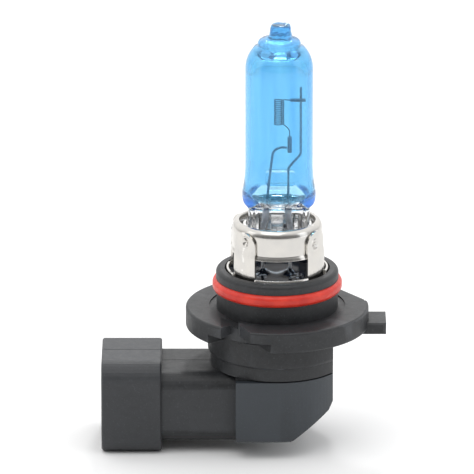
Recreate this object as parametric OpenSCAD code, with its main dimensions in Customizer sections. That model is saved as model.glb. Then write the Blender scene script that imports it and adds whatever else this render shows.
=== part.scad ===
// Halogen headlight bulb: single axial filament, 20 mm prefocus cap and a
// right-angle connector for two blades.
// The origin lies on the bulb axis, in the flange's seating plane. +Z points
// to the glass tip, the connector opens towards -X, and +X carries the key.

/* [Glass] */
// Outer radius of the glass tube
glass_r = 5.45; // [5:0.05:5.8]
// Thickness of the glass wall
glass_wall = 0.9; // [0.7:0.05:1]
// Offset of the capsule from the cap's axis, from focusing
focus_x = 0.25; // [0:0.05:0.3]
// Height of the dome's centre above the seating plane
dome_z = 39.9; // [39:0.1:41]
// Height of the sealed tip above the seating plane
tip_z = 47.25; // [46.8:0.05:48]
// Height where the tube closes into the flat press
press_top_z = 17; // [16.8:0.1:17.2]
// Half of the press's width
press_half_w = 4.95; // [4.7:0.05:5]
// Half of the press's thickness at its middle
press_half_t = 1.7; // [1.5:0.1:1.9]

/* [Filament] */
// Height of the filament's middle above the seating plane
filament_z = 32.8; // [32:0.1:33.5]
// Length of the coiled filament
coil_len = 3.9; // [3.5:0.1:4.2]
// Mean radius of the coil
coil_r = 0.68; // [0.6:0.02:0.75]
// Number of turns in the coil
coil_turns = 15; // [12:1:15]
// Diameter of the filament wire
filament_d = 0.17; // [0.12:0.01:0.18]
// Diameter of the support leads in the glass
support_d = 0.4; // [0.35:0.05:0.45]
// Diameter of the lead pins below the press
pin_d = 0.55; // [0.5:0.05:0.6]

/* [Metal cage] */
// Outer radius of the collar round the press
collar_r = 7.3; // [7.2:0.05:7.35]
// Thickness of the collar's, ring's and legs' sheet steel
sheet_t = 0.4; // [0.35:0.05:0.45]
// Height of the collar's top edge
collar_top_z = 14.6; // [14.4:0.1:14.8]
// Height of the collar's bottom edge
collar_low_z = 9.6; // [9.4:0.1:9.8]
// Outer radius of the retaining ring
ring_r = 7.9; // [7.85:0.05:7.95]
// Height of the retaining ring's top edge
ring_top_z = 6.6; // [6.5:0.1:6.8]
// Width of each leg, as an angle round the axis
leg_angle = 36.5; // [30:0.5:40]
// Height of the legs' rounded ends
leg_top_z = 14; // [13.8:0.1:14]

/* [Cap] */
// Radius of the pilot that centres the bulb in the lamp
pilot_r = 9.9; // [9.8:0.05:10]
// Height of the pilot's top edge
pilot_top_z = 6.4; // [6.2:0.1:6.5]
// Outer radius of the sealing ring
seal_r = 10.48; // [10.4:0.02:10.6]
// Outer radius of the flange's lugs
flange_r = 14.8; // [14.5:0.1:15]
// Radius of the flange's body between the lugs
flange_body_r = 12.2; // [12:0.1:12.5]
// Thickness of the lugs
lug_t = 3.4; // [3.2:0.1:3.5]
// Outer radius of the barrel below the flange
barrel_r = 10.8; // [10.7:0.05:10.9]
// Height of the barrel's lower edge, where the cover starts
barrel_low_z = -9.5; // [-9.6:0.05:-9.4]
// Distance from the axis to the flat on the barrel and cover
flat_x = 9; // [8.8:0.1:9.2]

/* [Connector] */
// Distance from the axis to the shroud's mouth
mouth_x = 28.4; // [28:0.1:29]
// Length of the shroud
shroud_len = 9.7; // [9.5:0.1:10]
// Height of the shroud
shroud_h = 15.3; // [15.2:0.1:15.6]
// Width of the shroud
shroud_w = 16.6; // [16.4:0.1:16.8]
// Height of the neck between shroud and barrel
neck_h = 11.7; // [11.5:0.1:11.8]
// Width of the neck
neck_w = 15.4; // [15.2:0.1:15.6]
// Width of the terminal blades
blade_w = 2.8; // [2.6:0.1:2.8]
// Thickness of the terminal blades
blade_t = 0.8; // [0.7:0.05:0.8]
// Distance between the blades' middles
blade_pitch = 7.2; // [7.1:0.1:7.4]

/* [Cover] */
// Height of the rear cover's bottom face
cover_low_z = -19.95; // [-20.1:0.05:-19.8]
// Distance from the axis to the cover's open side
cover_open_x = 6.7; // [6.6:0.1:6.8]
// Wall thickness of the cover
cover_wall = 1.2; // [1:0.1:1.3]

/* [Hidden] */
$fn = 96;
e = 0.01;                         // overlap that joins shapes of one piece
gap = 0.02;                       // clearance between pieces that touch

neck_top_z = barrel_low_z;
neck_mid_z = neck_top_z - neck_h / 2;
neck_low_z = neck_top_z - neck_h;
shroud_x = mouth_x - shroud_len;
socket_x = 14;                    // distance from the axis to the socket's floor
socket_h = 8.9;                   // the socket behind the shroud
socket_w = 12.6;
entry_h = 12.1;                   // the wider entry inside the shroud
entry_w = 13.4;
entry_x = shroud_x + 0.9;
blade_tip_x = 24;                 // distance from the axis to the blades' tips
blade_z = neck_mid_z;

groove_low_z = 2.7;
groove_top_z = 4.76;
groove_r = 8.9;
recess_r = 8.5;                   // recess in the pilot's top
ring_seat_r = 8.25;
recess_floor_z = 3;
seal_top_z = 5.5;                 // sealing compound round the lead pins
seal_low_z = 0.5;
well_r = 5.6;                     // passage for the lead pins
chamber_top_z = -3.2;
chamber_r = 8.8;                  // room for the welded terminals
core_gap = 0.1;                   // play between the housing's core and the cover
core_low_z = cover_low_z + cover_wall + core_gap;
seam_t = 0.25;                    // thickness of the cover's gasket

bead_h = 0.7;                     // bead along the collar's bottom edge
bead_r = collar_r + 0.22;
bead_low_z = collar_low_z;
bead_top_z = collar_low_z + bead_h;
ring_in_r = ring_r - sheet_t - 0.1;
ring_foot_r = ring_r - 1.3;
leg_dirs = [-45, 55.5, 135, 235.5]; // the legs, counted from -Y towards +X

press_low_z = 10.2;
left_pin = [-2.35, 0];
right_pin = [2.1, 0];
long_foot = [1.75, 0];            // where the long support lead enters the press
short_foot = [-1.95, 0];
support_end_z = 14.2;             // support leads and pins meet inside the press
riser_x = [3.2, 2.5];             // the terminals' welding faces
weld_z = [-7.6, -13];             // heights of the welds' top and bottom

crimp_z = filament_z + coil_len / 2 + 0.05;
crimp_r = 0.27;
crimp_x = [2.05, 4.45];
long_x = 3.75;                    // the long lead's upper stretch
low_crimp_x = 1.95;
low_crimp_z = [25.9, 28.5];
low_crimp_r = 0.36;
bridge_x = [-1.9, 2.8];
bridge_z = 21.6;
bridge_r = 1.35;

// ---- shared shapes ---------------------------------------------------------

// A rectangle with round corners, centred on the origin.
module round_rect(w, h, r) {
    square([w - 2 * r, h], center = true);
    square([w, h - 2 * r], center = true);
    for (sx = [-1, 1], sy = [-1, 1])
        translate([sx * (w / 2 - r), sy * (h / 2 - r)]) circle(r);
}

// A slab across the connector: w along Y, h along Z, from x0 towards -X.
module x_slab(x0, len, w, h, r) {
    translate([-x0, 0, neck_mid_z])
        rotate([90, 0, -90])
            linear_extrude(len) round_rect(w, h, r);
}

// A slab whose end edges are eased by c.
module eased_slab(x0, len, w, h, r, c) {
    hull($fn = 32) {
        x_slab(x0, len, w - 2 * c, h - 2 * c, r - c, $fn = 32);
        x_slab(x0 + c, len - 2 * c, w, h, r, $fn = 32);
    }
}

// A round tube or disc from z0 to z1.
module tube(r_out, r_in, z0, z1) {
    difference() {
        translate([0, 0, z0]) cylinder(r = r_out, h = z1 - z0);
        if (r_in > 0)
            translate([0, 0, z0 - 1]) cylinder(r = r_in, h = z1 - z0 + 2);
    }
}

// A path whose inner corners are rounded, starting the bend at cut from each.
function eased(path, cut) = concat(
    [path[0]],
    [
        for (i = [1 : len(path) - 2])
            let (
                a = path[i] + cut * unit(path[i - 1] - path[i]),
                b = path[i] + cut * unit(path[i + 1] - path[i])
            )
            for (t = [0 : 0.25 : 1])
                (1 - t) * (1 - t) * a + 2 * t * (1 - t) * path[i] + t * t * b
    ],
    [path[len(path) - 1]]
);

function unit(v) = v / norm(v);

// A wire swept along a path, as one closed shape. The path never runs along ref.
module swept_wire(path, r, sides = 12, ref = [0, 1, 0]) {
    n = len(path);
    points = [
        for (i = [0 : n - 1])
            let (
                t = unit(path[min(i + 1, n - 1)] - path[max(i - 1, 0)]),
                u = unit(cross(t, ref)),
                v = cross(u, t)
            )
            for (k = [0 : sides - 1])
                path[i] + r * (cos(360 * k / sides) * u + sin(360 * k / sides) * v)
    ];
    walls = [
        for (i = [0 : n - 2], k = [0 : sides - 1])
            let (a = i * sides + k, b = i * sides + (k + 1) % sides)
            for (face = [[a, b, a + sides], [b, b + sides, a + sides]]) face
    ];
    ends = [
        [for (k = [sides - 1 : -1 : 0]) k],
        [for (k = [0 : sides - 1]) (n - 1) * sides + k]
    ];
    polyhedron(points, concat(walls, ends));
}

// The outline of the cover in plan, smaller by inset.
module cover_plan(inset) {
    intersection() {
        union() {
            circle(barrel_r - inset);
            translate([-cover_open_x, -barrel_r + inset])
                square([cover_open_x, 2 * (barrel_r - inset)]);
        }
        translate([-cover_open_x, -barrel_r])
            square([cover_open_x + flat_x - inset, 2 * barrel_r]);
    }
}

// Everything below the cover's sloping corner, moved inwards by inset.
module corner_cut(inset) {
    slope = 35;                   // of the long slope, which starts at the bottom face
    slope_x = 2.2;
    steep = 62;                   // of the short slope, which ends at the flat side
    steep_z = cover_low_z + 5.55;
    translate([slope_x, 0, cover_low_z])
        rotate([0, -slope, 0])
            translate([-20, -20, inset - 20]) cube([60, 40, 20]);
    translate([flat_x, 0, steep_z])
        rotate([0, -steep, 0])
            translate([-20, -20, inset - 20]) cube([60, 40, 20]);
}

// ---- cap ---------------------------------------------------------------------

// A lug of the flange between two angles, counted from +X.
module lug(a0, a1, r) {
    edge = 0.4;
    rotate([0, 0, a0])
        rotate_extrude(angle = a1 - a0) {
            translate([9, -lug_t]) square([r - edge - 9, lug_t]);
            translate([9, -lug_t + edge]) square([r - 9, lug_t - 2 * edge]);
            for (z = [-lug_t + edge, -edge])
                translate([r - edge, z]) circle(edge, $fn = 32);
        }
}

// Everything to the left of the slanted side that ends the front lug, below z.
module left_of_slant(shift, z) {
    slant = -64.7;
    start = [-6.34, -9.96];
    translate([start[0] + shift, start[1], -lug_t - 1])
        rotate([0, 0, slant])
            translate([-1, -6, 0]) cube([12, 6, z + lug_t + 1]);
}

module flange() {
    step_z = -1.85;               // the lugs' ends are only this deep
    body_t = 2.8;
    // front lug
    difference() {
        lug(8, -122, flange_r);
        left_of_slant(0, 1);
        left_of_slant(3, step_z);
    }
    // rear and left lug
    difference() {
        lug(121, 232, flange_r);
        translate([0, 0, -lug_t - 1])
            rotate([0, 0, 221]) cube([20, 6, step_z + lug_t + 1]);
    }
    tube(flange_body_r, 0, -body_t, 0);
    // the body's flattened stretch behind the key
    flat_turn = 36;
    flat_dist = 12.85;
    difference() {
        tube(flange_r - 0.5, 0, -body_t, 0);
        rotate([0, 0, flat_turn]) translate([flat_dist, -20, -5]) cube([20, 40, 10]);
        rotate([0, 0, 4]) translate([-20, -40, -5]) cube([40, 40, 10]);
        rotate([0, 0, 66]) translate([-20, 0, -5]) cube([40, 40, 10]);
    }
}

// The sloping end on top of the left lug.
module lug_ramp() {
    slope = 14;
    start_x = -9.14;
    translate([start_x, -15, 0])
        rotate([0, slope, 0]) cube([2.9, 10.6, 3]);
}

// The key, with its edges eased.
module key_block() {
    hull($fn = 32) {
        translate([13.4, -2.9, -4.1]) cube([4.2, 5.8, 1.9]);
        translate([13.4, -3.2, -3.85]) cube([3.75, 6.4, 1.4]);
    }
}

module pilot_shape() {
    edge = 0.7;
    tube(pilot_r - edge, 0, -1, pilot_top_z);
    tube(pilot_r, 0, groove_top_z, pilot_top_z - edge);
    translate([0, 0, pilot_top_z - edge])
        rotate_extrude() translate([pilot_r - edge, 0]) circle(edge, $fn = 48);
    tube(pilot_r - 0.1, 0, -1, groove_low_z);
}

// Barrel and the bead under the flange, with the flat on the key's side.
module barrel() {
    bead_out = 0.45;
    bead_z = -6.9;
    bead_edge = 0.6;
    difference() {
        union() {
            tube(barrel_r + bead_out, 0, bead_z, -lug_t + 0.15);
            translate([0, 0, bead_z])
                rotate_extrude()
                    translate([barrel_r + bead_out - bead_edge, 0]) circle(bead_edge, $fn = 32);
            tube(barrel_r, 0, barrel_low_z, bead_z);
            // undercut between the bead and the flange
            tube(barrel_r - 0.3, 0, bead_z, -1);
        }
        translate([flat_x, -20, -30]) cube([20, 40, 30]);
    }
}

module base_outside() {
    difference() {
        union() {
            difference() {
                flange();
                lug_ramp();
                // relief round the pilot's root
                tube(11, 9, -0.2, 1);
            }
            pilot_shape();
        }
        // O-ring groove
        tube(14, groove_r, groove_low_z, groove_top_z);
    }
    key_block();
    barrel();
    // core that the rear cover slips over
    difference() {
        translate([0, 0, core_low_z])
            linear_extrude(barrel_low_z - core_low_z + e)
                cover_plan(cover_wall + core_gap);
        corner_cut(cover_wall + core_gap);
    }
    eased_slab(cover_open_x - 0.1, shroud_x - cover_open_x + 1, neck_w, neck_h, 2.5, 0.05);
    eased_slab(shroud_x, shroud_len, shroud_w, shroud_h, 3, 0.25);
}

module base_housing() {
    color([0.2, 0.2, 0.21])
    difference() {
        base_outside();
        // recess for the retaining ring, and the passage below it
        tube(recess_r, 0, 5.4, pilot_top_z + 1);
        tube(ring_seat_r, 0, recess_floor_z, pilot_top_z);
        tube(well_r, 0, -5, recess_floor_z + 1);
        // terminal chamber, open to the cover
        intersection() {
            tube(chamber_r, 0, barrel_low_z - 1, chamber_top_z);
            translate([-20, -20, -20]) cube([20 + flat_x - 1.3, 40, 30]);
        }
        translate([-5.5, 0, core_low_z - 1])
            linear_extrude(barrel_low_z - core_low_z + 2) intersection() {
                translate([5.5, 0]) circle(8.2);
                translate([0, -8.2]) square([5.5 + 6.4, 16.4]);
            }
        translate([-5.5, -8.2, core_low_z - 1])
            cube([5.5, 16.4, barrel_low_z - core_low_z + 2]);
        // connector socket and its wider entry
        x_slab(socket_x, 20, socket_w, socket_h, 1.5);
        x_slab(entry_x, 20, entry_w, entry_h, 2);
        // slots that hold the blades
        for (s = [-1, 1])
            translate([-socket_x - 1, s * blade_pitch / 2 - blade_w / 2, blade_z - blade_t / 2])
                cube([socket_x - 4, blade_w, blade_t]);
        // mould line along the connector's top
        translate([-mouth_x - 1, -0.07, neck_mid_z + shroud_h / 2 - 0.08])
            cube([mouth_x - shroud_x + 2, 0.14, 1]);
        translate([-shroud_x - 1, -0.07, neck_top_z - 0.08])
            cube([shroud_x - cover_open_x - 2, 0.14, 1]);
    }
}

module o_ring() {
    half_w = (seal_r - groove_r - gap) / 2;
    mid_z = groove_low_z + 1.03;
    rise = 1 - half_w;
    color([0.86, 0.16, 0.1])
        rotate_extrude() translate([seal_r - half_w, mid_z]) {
            for (s = [-1, 1])
                translate([0, s * rise]) circle(half_w, $fn = 48);
            square([2 * half_w, 2 * rise], center = true);
        }
}

// ---- rear cover --------------------------------------------------------------

module rear_cover() {
    ease = 0.3;
    color([0.22, 0.23, 0.25])
    difference() {
        hull() {
            translate([0, 0, cover_low_z + ease])
                linear_extrude(barrel_low_z - seam_t - cover_low_z - ease) cover_plan(0);
            translate([0, 0, cover_low_z])
                linear_extrude(ease) cover_plan(ease);
        }
        corner_cut(0);
        // inside, open towards the neck
        difference() {
            for (x = [-1, 0])
                translate([x, 0, cover_low_z + cover_wall])
                    linear_extrude(20) cover_plan(cover_wall);
            corner_cut(cover_wall);
        }
        // room for the neck
        x_slab(cover_open_x - 0.4, 4, neck_w + 0.1, neck_h + 0.1, 2.5);
    }
}

module cover_gasket() {
    color([0.08, 0.08, 0.08])
        translate([0, 0, barrel_low_z - seam_t])
            linear_extrude(seam_t) difference() {
                intersection() {
                    cover_plan(0.35);
                    circle(barrel_r - 0.35);
                }
                translate([-1, 0]) cover_plan(cover_wall + core_gap - gap);
                cover_plan(cover_wall + core_gap - gap);
            }
}

// ---- metal cage --------------------------------------------------------------

module capsule_collar() {
    bend = 1;
    lip = 0.15;
    color([0.8, 0.79, 0.76])
        rotate_extrude() {
            // wall
            translate([collar_r - sheet_t, bead_top_z - e])
                square([sheet_t, collar_top_z - bend - bead_top_z + 2 * e]);
            // rolled-in top edge
            translate([collar_r - bend, collar_top_z - bend])
                intersection() {
                    difference() {
                        circle(bend, $fn = 48);
                        circle(bend - sheet_t, $fn = 48);
                    }
                    square(bend);
                }
            translate([collar_r - bend - lip, collar_top_z - sheet_t])
                square([lip + e, sheet_t]);
            // stiffening bead along the bottom edge
            translate([collar_r - sheet_t, bead_low_z])
                square([sheet_t, bead_top_z - bead_low_z]);
            translate([bead_r - bead_h / 2, bead_low_z + bead_h / 2])
                circle(bead_h / 2, $fn = 32);
        }
}

// One leg of the retaining ring, hugging the collar, with a round end.
module leg() {
    half_w = collar_r * sin(leg_angle / 2);
    r_in = collar_r + gap;
    intersection() {
        union() {
            tube(r_in + sheet_t, r_in, ring_top_z - 1.2, leg_top_z);
            // joggle over the collar's bead
            rotate_extrude() polygon([
                [r_in, bead_low_z - 0.9], [r_in + sheet_t, bead_low_z - 0.9],
                [bead_r + sheet_t, bead_low_z - 0.2], [bead_r + sheet_t, bead_top_z + 0.1],
                [r_in + sheet_t, bead_top_z + 0.6], [r_in, bead_top_z + 0.6]
            ]);
        }
        rotate([90, 0, 0])
            linear_extrude(20) {
                translate([-half_w, 0]) square([2 * half_w, leg_top_z - half_w]);
                translate([0, leg_top_z - half_w]) circle(half_w);
            }
    }
}

module retaining_ring() {
    weld_z = 12.3;
    color([0.83, 0.82, 0.79])
    difference() {
        union() {
            tube(ring_r, ring_in_r, recess_floor_z, ring_top_z);
            // foot that sits in the housing
            tube(ring_seat_r - gap, ring_foot_r, recess_floor_z, recess_floor_z + sheet_t);
            for (a = leg_dirs)
                rotate([0, 0, a]) leg();
        }
        // inside of the joggles
        rotate_extrude() polygon([
            [0, bead_low_z - 0.8], [collar_r + gap, bead_low_z - 0.8],
            [bead_r + gap, bead_low_z - 0.1], [bead_r + gap, bead_top_z],
            [collar_r + gap, bead_top_z + 0.5], [0, bead_top_z + 0.5]
        ]);
        // spot welds
        for (a = leg_dirs)
            rotate([0, 0, a])
                translate([0, -collar_r - sheet_t - 0.35, weld_z]) sphere(0.5, $fn = 32);
    }
}

module spring_clip() {
    wall = 0.35;
    low_z = 10.4;
    top_z = 13.9;
    r_out = collar_r - sheet_t - gap;
    color([0.7, 0.7, 0.68])
    difference() {
        union() {
            tube(r_out, r_out - wall, low_z, top_z - 0.6);
            // sloping shoulder towards the press
            rotate_extrude()
                polygon([
                    [r_out, top_z - 0.62], [r_out - wall, top_z - 0.62],
                    [5.45, top_z - wall], [5.45, top_z]
                ]);
            tube(5.5, 5.1, low_z + 0.6, top_z);
        }
        // slots between the fingers
        for (a = [0 : 45 : 359])
            rotate([0, 0, a + 22.5])
                translate([0, -0.45, low_z + 0.5]) cube([6.4, 0.9, 10]);
    }
}

// ---- capsule -----------------------------------------------------------------

// Outer shape of the envelope, as a half profile.
module envelope_outside() {
    dome_r = glass_r - 0.3;
    ring_z = dome_z + 4.1;
    tip_base_z = ring_z + 0.9;
    // flared foot that closes onto the press, and the tube
    polygon([
        [0, press_top_z], [4, press_top_z], [4.9, 17.25], [5.5, 17.7], [5.85, 18.3],
        [5.95, 18.9], [5.92, 19.4], [5.75, 20.4], [5.58, 21.5], [glass_r, 23.5],
        [glass_r, dome_z + e], [0, dome_z + e]
    ]);
    // dome
    intersection() {
        union() {
            translate([0.3, dome_z]) circle(dome_r);
            translate([0, dome_z]) square([0.3, dome_r]);
        }
        translate([0, dome_z]) square(20);
    }
    // lumpy shoulder round the tip
    translate([0, ring_z - 0.9]) square([3.3, 1.2]);
    translate([2.85, ring_z + 0.15]) circle(0.75, $fn = 48);
    // sealed tip
    polygon([
        [0, ring_z], [2.85, ring_z], [2.85, tip_base_z], [1.95, tip_base_z],
        [1.5, tip_z - 0.25], [1.25, tip_z], [0, tip_z]
    ]);
}

// The gas space inside the envelope, as a half profile.
module envelope_inside() {
    r = glass_r - glass_wall;
    ledge_z = dome_z + 2.1;
    polygon([
        [0, 18.8], [3, 18.9], [4.3, 19.3], [4.8, 20.2], [4.7, 22], [r, 24],
        [r, dome_z + e], [0, dome_z + e]
    ]);
    intersection() {
        translate([0.3, dome_z]) circle(r - 0.3);
        translate([0, dome_z]) square([r, ledge_z - dome_z]);
    }
    // flat top of the space, and the end of the exhaust bore
    polygon([
        [0, ledge_z - e], [3.6, ledge_z - e], [1.4, ledge_z + 0.8],
        [0.75, ledge_z + 2.2], [0, ledge_z + 2.6]
    ]);
}

module glass_envelope() {
    color([0.35, 0.72, 0.96, 0.6])
        translate([focus_x, 0, 0])
            rotate_extrude() difference() {
                envelope_outside();
                envelope_inside();
                // opening that the press closes
                translate([0, press_top_z - 1]) square([3.2, 3]);
            }
}

// The flat press: a plate with a thicker rib along each side.
module press_plan() {
    rib = 1.1;
    square([2 * press_half_w - rib, 2 * press_half_t], center = true);
    for (s = [-1, 1])
        translate([s * (press_half_w - rib / 2), 0]) round_rect(rib, 4.4, 0.5, $fn = 32);
}

module glass_press() {
    color([0.9, 0.95, 1, 0.35])
    difference() {
        translate([focus_x, 0, 0]) {
            translate([0, 0, press_low_z])
                linear_extrude(press_top_z - press_low_z) press_plan();
            // plug that closes the envelope
            tube(3.2 - gap, 0, press_top_z - e, 18.85);
        }
        translate([0, 0, -gap]) support_wires(support_d / 2 + gap);
        for (p = [left_pin, right_pin])
            translate([p[0], p[1], 0]) cylinder(d = pin_d + 2 * gap, h = support_end_z, $fn = 24);
    }
}

// ---- filament and its leads --------------------------------------------------

long_route = [
    [long_x, 0, 36.85], [long_x, 0, 25.6],
    [long_foot[0], 0, 23.3], [long_foot[0], 0, support_end_z]
];
short_route = [
    [low_crimp_x - low_crimp_r - 0.1, 0, 26.7], [0.6, 0, 26.75], [-0.3, 0, 26.4],
    [-0.75, 0, 25.8], [-1.1, 0, 23.1], [-1.4, 0, 20.2], [short_foot[0], 0, 15.9],
    [short_foot[0], 0, support_end_z]
];

module support_wires(r) {
    swept_wire(eased(long_route, 0.4), r);
    swept_wire(eased(short_route, 0.3), r);
}

module long_support_lead() {
    color([0.5, 0.5, 0.52]) swept_wire(eased(long_route, 0.4), support_d / 2);
}

module short_support_lead() {
    color([0.5, 0.5, 0.52]) swept_wire(eased(short_route, 0.3), support_d / 2);
}

module glass_bridge() {
    round = 0.5;
    color([0.9, 0.95, 1, 0.3])
    difference() {
        translate([bridge_x[0], 0, bridge_z]) rotate([0, 90, 0]) {
            tube(bridge_r, 0, round, bridge_x[1] - bridge_x[0] - round);
            tube(bridge_r - round, 0, 0, bridge_x[1] - bridge_x[0]);
            for (z = [round, bridge_x[1] - bridge_x[0] - round])
                translate([0, 0, z])
                    rotate_extrude($fn = 48) translate([bridge_r - round, 0]) circle(round, $fn = 24);
        }
        support_wires(support_d / 2 + gap);
    }
}

// The route of the filament: bottom tail, coil and top tail.
coil_steps = 14;
function coil_point(i) =
    let (a = 360 * i / coil_steps)
    [
        focus_x + coil_r * cos(a), coil_r * sin(a),
        filament_z - coil_len / 2 + coil_len * i / (coil_steps * coil_turns)
    ];
filament_route = concat(
    [[low_crimp_x, 0, low_crimp_z[1] - 0.6], [low_crimp_x, 0, 29.6], [1.75, 0, 30.1], [1.3, 0, 30.5]],
    [for (i = [0 : coil_steps * coil_turns]) coil_point(i)],
    [[1.35, -0.25, crimp_z], [crimp_x[0] - 0.1, -0.48, crimp_z], [crimp_x[0] + 0.4, -0.48, crimp_z]]
);

module filament_coil() {
    color([0.45, 0.42, 0.45]) swept_wire(filament_route, filament_d / 2, 6, [0.05, -0.1, 1]);
}

module upper_crimp_sleeve() {
    color([0.6, 0.6, 0.6])
    difference() {
        translate([crimp_x[0], -0.48, crimp_z]) rotate([0, 90, 0])
            cylinder(r = crimp_r, h = crimp_x[1] - crimp_x[0], $fn = 32);
        translate([crimp_x[0] - 1, -0.48, crimp_z]) rotate([0, 90, 0])
            cylinder(d = filament_d + 2 * gap, h = 1.45, $fn = 24);
    }
}

module lower_crimp_sleeve() {
    color([0.6, 0.6, 0.6])
    difference() {
        translate([low_crimp_x, 0, low_crimp_z[0]])
            cylinder(r = low_crimp_r, h = low_crimp_z[1] - low_crimp_z[0], $fn = 32);
        translate([low_crimp_x, 0, low_crimp_z[1] - 0.65])
            cylinder(d = filament_d + 2 * gap, h = 2, $fn = 24);
    }
}

// A lead pin, from the press down to its terminal's welding face.
module lead_pin(top, weld_x, side) {
    bend_z = -4.5;
    y = side * blade_pitch / 2;
    color([0.72, 0.72, 0.7])
        swept_wire(eased([
            [top[0], top[1], support_end_z - gap], [top[0], top[1], bend_z],
            [weld_x, y, weld_z[0]], [weld_x, y, weld_z[1]]
        ], 0.7), pin_d / 2, 16, [1, 0, 0]);
}

module lead_pin_left() {
    lead_pin(left_pin, -riser_x[0], -1);
}

module lead_pin_right() {
    lead_pin(right_pin, riser_x[1], 1);
}

module lead_seal() {
    color([0.15, 0.15, 0.17])
    difference() {
        union() {
            tube(ring_in_r - gap, 0, recess_floor_z + sheet_t + gap, seal_top_z);
            tube(ring_foot_r - gap, 0, recess_floor_z, seal_top_z - 0.5);
            tube(well_r - gap, 0, seal_low_z, seal_top_z - 0.5);
        }
        for (p = [left_pin, right_pin])
            translate([p[0], p[1], 0]) cylinder(d = pin_d + 2 * gap, h = 20, $fn = 24);
    }
}

module insulating_sleeve() {
    color([0.9, 0.9, 0.86])
        translate([right_pin[0], right_pin[1], 0])
            tube(pin_d / 2 + 0.35, pin_d / 2 + gap, -4, 0.3, $fn = 32);
}

// ---- terminals ---------------------------------------------------------------

// A blade that runs back from its tip and turns up to the lead pin's weld.
module terminal(weld_x, side) {
    y = side * blade_pitch / 2 - blade_w / 2;
    back_x = weld_x - pin_d / 2;
    point = 1.2;
    color([0.78, 0.72, 0.55]) {
        translate([-blade_tip_x + point, y, blade_z - blade_t / 2])
            cube([back_x + blade_tip_x - point, blade_w, blade_t]);
        // tapered tip
        hull($fn = 32) {
            translate([-blade_tip_x, y + 0.5, blade_z - 0.15])
                cube([0.1, blade_w - 1, 0.3]);
            translate([-blade_tip_x + point, y, blade_z - blade_t / 2])
                cube([0.1, blade_w, blade_t]);
        }
        // upright welding tab
        translate([back_x - blade_t, y, blade_z - blade_t / 2])
            cube([blade_t, blade_w, weld_z[0] - blade_z]);
    }
}

module terminal_short() {
    terminal(-riser_x[0], -1);
}

module terminal_long() {
    terminal(riser_x[1], 1);
}

base_housing();
rear_cover();
cover_gasket();
o_ring();
retaining_ring();
capsule_collar();
spring_clip();
glass_envelope();
glass_press();
glass_bridge();
filament_coil();
long_support_lead();
short_support_lead();
upper_crimp_sleeve();
lower_crimp_sleeve();
lead_pin_left();
lead_pin_right();
lead_seal();
insulating_sleeve();
terminal_short();
terminal_long();
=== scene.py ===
"""Halogen headlight bulb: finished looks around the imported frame.

The bulb's axis is Z, the connector opens towards -X and the flange's key points to +X.
Lengths are written in millimetres; mm(), piece() and the shader calls turn them into metres.
"""
import math

import bpy
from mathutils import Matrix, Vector, noise


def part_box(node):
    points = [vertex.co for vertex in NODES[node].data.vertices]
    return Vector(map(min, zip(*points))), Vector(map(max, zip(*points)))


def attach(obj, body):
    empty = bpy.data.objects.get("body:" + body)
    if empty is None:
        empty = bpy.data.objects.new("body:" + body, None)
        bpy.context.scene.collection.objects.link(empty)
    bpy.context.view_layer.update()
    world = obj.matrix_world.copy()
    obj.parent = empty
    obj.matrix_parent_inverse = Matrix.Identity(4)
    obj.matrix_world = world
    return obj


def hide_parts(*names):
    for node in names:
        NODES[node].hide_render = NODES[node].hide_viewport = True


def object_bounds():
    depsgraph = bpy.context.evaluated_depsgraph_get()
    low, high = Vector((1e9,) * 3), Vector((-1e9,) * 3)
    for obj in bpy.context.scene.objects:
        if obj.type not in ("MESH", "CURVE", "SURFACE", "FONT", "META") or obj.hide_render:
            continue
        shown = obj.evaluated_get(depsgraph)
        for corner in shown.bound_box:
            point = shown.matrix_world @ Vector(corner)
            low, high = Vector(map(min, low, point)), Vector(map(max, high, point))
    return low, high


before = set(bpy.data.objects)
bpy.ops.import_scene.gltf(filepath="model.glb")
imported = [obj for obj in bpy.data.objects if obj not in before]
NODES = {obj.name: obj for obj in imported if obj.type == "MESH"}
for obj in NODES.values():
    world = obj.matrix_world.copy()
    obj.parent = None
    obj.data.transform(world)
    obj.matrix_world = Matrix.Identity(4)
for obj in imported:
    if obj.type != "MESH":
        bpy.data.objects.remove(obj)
cad_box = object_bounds()
MM = 0.001
TURN = 2 * math.pi


def mm(*values):
    """Millimetres to metres: one number, or a vector."""
    if len(values) == 1:
        return values[0] * MM
    return Vector([v * MM for v in values])


def size(node):
    """The lowest and highest corner of a CAD node, in millimetres."""
    low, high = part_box(node)
    return low / MM, high / MM


# ---- curves and easing ---------------------------------------------------------


def ease(t):
    """0 to 1, smooth at both ends."""
    t = min(max(t, 0.0), 1.0)
    return t * t * (3 - 2 * t)


def arc(cx, cz, r, a0, a1, steps):
    """Points of an arc in the half-profile plane, angles in degrees."""
    return [
        (cx + r * math.cos(math.radians(a)), cz + r * math.sin(math.radians(a)))
        for a in [a0 + (a1 - a0) * i / steps for i in range(steps + 1)]
    ]


def spline(points, steps):
    """A smooth curve through points of any dimension, steps for each stretch."""
    pts = [tuple(p) for p in points]
    pts = [pts[0]] + pts + [pts[-1]]
    out = []
    for i in range(1, len(pts) - 2):
        p0, p1, p2, p3 = pts[i - 1 : i + 3]
        for k in range(steps):
            t = k / steps
            out.append(tuple(
                0.5 * (2 * b + (c - a) * t + (2 * a - 5 * b + 4 * c - d) * t * t
                       + (3 * b - a - 3 * c + d) * t ** 3)
                for a, b, c, d in zip(p0, p1, p2, p3)
            ))
    out.append(pts[-2])
    return out


def bent(points, cut, steps=6):
    """A path in space with round bends that start at cut from each inner corner."""
    pts = [Vector(p) for p in points]
    out = [pts[0]]
    for before, corner, after in zip(pts, pts[1:], pts[2:]):
        a = corner + (before - corner).normalized() * cut
        b = corner + (after - corner).normalized() * cut
        for k in range(steps + 1):
            t = k / steps
            out.append((1 - t) ** 2 * a + 2 * t * (1 - t) * corner + t * t * b)
    out.append(pts[-1])
    return out


# ---- mesh building -------------------------------------------------------------


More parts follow.
